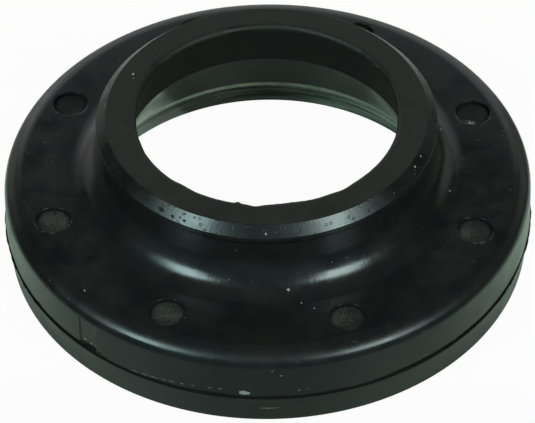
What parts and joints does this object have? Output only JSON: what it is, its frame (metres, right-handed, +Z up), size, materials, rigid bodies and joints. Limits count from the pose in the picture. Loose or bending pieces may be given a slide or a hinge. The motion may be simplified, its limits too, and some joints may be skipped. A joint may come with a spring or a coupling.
{
  "type": "coil spring insulator",
  "caption": "Moulded rubber ring with a thick flange, a raised lipped collar that guides the coil's inside, and a conical hollow below that sits over the spring perch.",
  "frame": {"origin": "centre of the flat floor face, on the ring's own axis", "axes": "+Z up the axis through the collar's mouth; +X lies between two pin marks of the coil seat"},
  "size_m": [0.148, 0.148, 0.0438],
  "materials": {
    "moulded_rubber": "satin black moulded rubber, polished where the mould was, duller on the cut top face"
  },
  "bodies": {
    "root": {"insulator": "moulded_rubber"}
  },
  "joints": []
}
